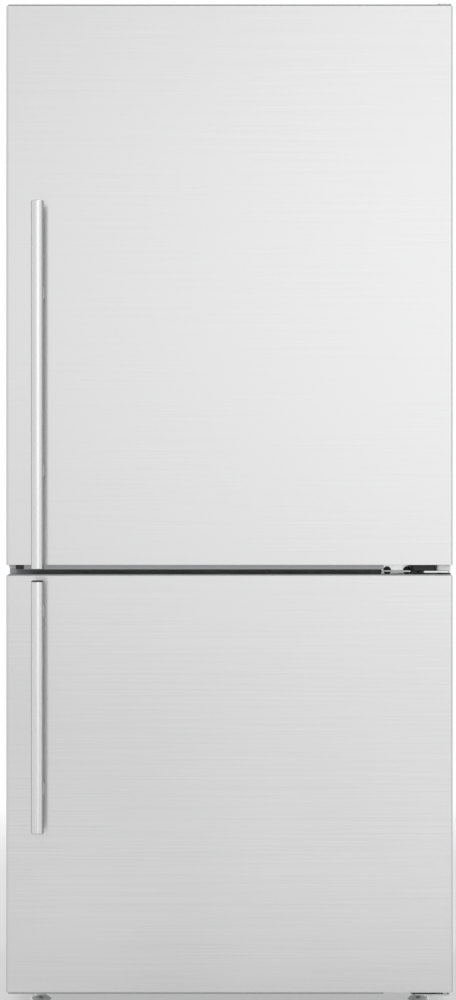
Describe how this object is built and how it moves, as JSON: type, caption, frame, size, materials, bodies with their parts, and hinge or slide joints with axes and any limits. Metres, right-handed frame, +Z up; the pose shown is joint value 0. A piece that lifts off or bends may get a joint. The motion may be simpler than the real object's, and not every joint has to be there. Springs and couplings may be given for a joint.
{
  "type": "bottom freezer refrigerator",
  "caption": "Free-standing bottom freezer refrigerator with right-hinged steel doors, round bar handles, shelves, bins, drawers and a rear compressor compartment.",
  "frame": {"origin": "on the floor, under the centre of the overall box, handles included", "axes": "+Z up, doors and handles toward -Y, hinges on the +X side"},
  "size_m": [0.756, 0.7556, 1.7193],
  "materials": {
    "brushed_steel": "satin",
    "bar_steel": "satin",
    "zinc_steel": "satin",
    "cabinet_paint": "satin",
    "dark_paint": "matte",
    "black_steel": "satin",
    "aluminium": "satin",
    "grey_plastic": "matte",
    "black_plastic": "matte",
    "white_plastic": "satin",
    "clear_plastic": "gloss",
    "lens": "satin",
    "shelf_glass": "gloss",
    "seal": "matte",
    "foam": "matte"
  },
  "bodies": {
    "cabinet": {"outer_wrapper": "cabinet_paint", "back_panel": "cabinet_paint", "base_pan": "zinc_steel", "insulation_foam": "foam", "fridge_liner": "white_plastic", "freezer_liner": "white_plastic", "front_crossrail": "dark_paint", "top_hinge_bracket": "zinc_steel", "top_hinge_cover": "grey_plastic", "middle_hinge_bracket": "zinc_steel", "bottom_hinge_bracket": "zinc_steel", "compressor": "black_steel", "condenser_coil": "black_steel", "condenser_fan_shroud": "grey_plastic", "drain_pan": "black_plastic", "machine_cover": "dark_paint", "evaporator": "aluminium", "freezer_back_panel": "white_plastic", "fridge_duct_cover": "white_plastic", "control_housing": "white_plastic", "light_lens": "lens", "shelf_upper": "shelf_glass", "shelf_middle": "shelf_glass", "shelf_lower": "shelf_glass", "crisper_cover": "shelf_glass"},
    "fridge_door": {"fridge_door_panel": "brushed_steel", "fridge_door_liner": "white_plastic", "fridge_door_gasket": "seal", "fridge_door_top_cap": "grey_plastic", "fridge_door_bottom_cap": "grey_plastic", "fridge_handle_bar": "bar_steel", "fridge_handle_post_upper": "bar_steel", "fridge_handle_post_lower": "bar_steel", "fridge_door_closer": "black_plastic", "dairy_bin": "clear_plastic", "door_bin_upper": "clear_plastic", "door_bin_middle": "clear_plastic", "door_bin_lower": "clear_plastic"},
    "freezer_door": {"freezer_door_panel": "brushed_steel", "freezer_door_liner": "white_plastic", "freezer_door_gasket": "seal", "freezer_door_top_cap": "grey_plastic", "freezer_door_bottom_cap": "grey_plastic", "freezer_handle_bar": "bar_steel", "freezer_handle_post_upper": "bar_steel", "freezer_handle_post_lower": "bar_steel", "freezer_door_closer": "black_plastic"},
    "dairy_flap": {"dairy_cover": "clear_plastic"},
    "left_crisper": {"crisper_left": "clear_plastic"},
    "right_crisper": {"crisper_right": "clear_plastic"},
    "top_drawer": {"freezer_drawer_top": "clear_plastic"},
    "middle_drawer": {"freezer_drawer_middle": "clear_plastic"},
    "bottom_drawer": {"freezer_drawer_bottom": "clear_plastic"},
    "dial": {"temperature_dial": "grey_plastic"},
    "condenser_rotor": {"condenser_fan_blade": "black_plastic"},
    "evaporator_rotor": {"evaporator_fan": "black_plastic"},
    "left_roller": {"roller_left": "black_plastic"},
    "right_roller": {"roller_right": "black_plastic"},
    "left_foot": {"foot_left": "zinc_steel"},
    "right_foot": {"foot_right": "zinc_steel"}
  },
  "joints": [
    {"name": "fridge_door_swing", "type": "hinge", "parent": "cabinet", "child": "fridge_door", "pos_m": [0.365, -0.30025, 1.2], "axis": [0, 0, 1], "range_deg": [0, 135]},
    {"name": "freezer_door_swing", "type": "hinge", "parent": "cabinet", "child": "freezer_door", "pos_m": [0.365, -0.30025, 0.38], "axis": [0, 0, 1], "range_deg": [0, 135]},
    {"name": "dairy_cover_flip", "type": "hinge", "parent": "fridge_door", "child": "dairy_flap", "pos_m": [0, -0.25325, 1.54125], "axis": [1, 0, 0], "range_deg": [0, 85]},
    {"name": "left_crisper_slide", "type": "slide", "parent": "cabinet", "child": "left_crisper", "axis": [0, -1, 0], "range_m": [0, 0.28]},
    {"name": "right_crisper_slide", "type": "slide", "parent": "cabinet", "child": "right_crisper", "axis": [0, -1, 0], "range_m": [0, 0.28]},
    {"name": "top_drawer_slide", "type": "slide", "parent": "cabinet", "child": "top_drawer", "axis": [0, -1, 0], "range_m": [0, 0.24]},
    {"name": "middle_drawer_slide", "type": "slide", "parent": "cabinet", "child": "middle_drawer", "axis": [0, -1, 0], "range_m": [0, 0.24]},
    {"name": "bottom_drawer_slide", "type": "slide", "parent": "cabinet", "child": "bottom_drawer", "axis": [0, -1, 0], "range_m": [0, 0.24]},
    {"name": "temperature_dial_turn", "type": "hinge", "parent": "cabinet", "child": "dial", "pos_m": [0.09, -0.12355, 1.6417], "axis": [0, -1, 0], "range_deg": [0, 270]},
    {"name": "condenser_fan_spin", "type": "hinge", "parent": "cabinet", "child": "condenser_rotor", "pos_m": [0.062, 0.26675, 0.1158], "axis": [1, 0, 0], "continuous": true},
    {"name": "evaporator_fan_spin", "type": "hinge", "parent": "cabinet", "child": "evaporator_rotor", "pos_m": [0, 0.24525, 0.64125], "axis": [0, 1, 0], "continuous": true},
    {"name": "left_roller_roll", "type": "hinge", "parent": "cabinet", "child": "left_roller", "pos_m": [-0.308, 0.31775, 0.022], "axis": [1, 0, 0], "continuous": true},
    {"name": "right_roller_roll", "type": "hinge", "parent": "cabinet", "child": "right_roller", "pos_m": [0.308, 0.31775, 0.022], "axis": [1, 0, 0], "continuous": true},
    {"name": "left_foot_turn", "type": "hinge", "parent": "cabinet", "child": "left_foot", "pos_m": [-0.328, -0.20425, 0.02], "axis": [0, 0, 1], "continuous": true},
    {"name": "right_foot_turn", "type": "hinge", "parent": "cabinet", "child": "right_foot", "pos_m": [0.328, -0.20425, 0.02], "axis": [0, 0, 1], "continuous": true}
  ],
  "couplings": [
    {"joint": "left_crisper_slide", "follows": "fridge_door_swing", "m_per_rad": 0.1188},
    {"joint": "right_crisper_slide", "follows": "fridge_door_swing", "m_per_rad": 0.1188},
    {"joint": "top_drawer_slide", "follows": "freezer_door_swing", "m_per_rad": 0.1018},
    {"joint": "middle_drawer_slide", "follows": "freezer_door_swing", "m_per_rad": 0.1018},
    {"joint": "bottom_drawer_slide", "follows": "freezer_door_swing", "m_per_rad": 0.1018}
  ]
}
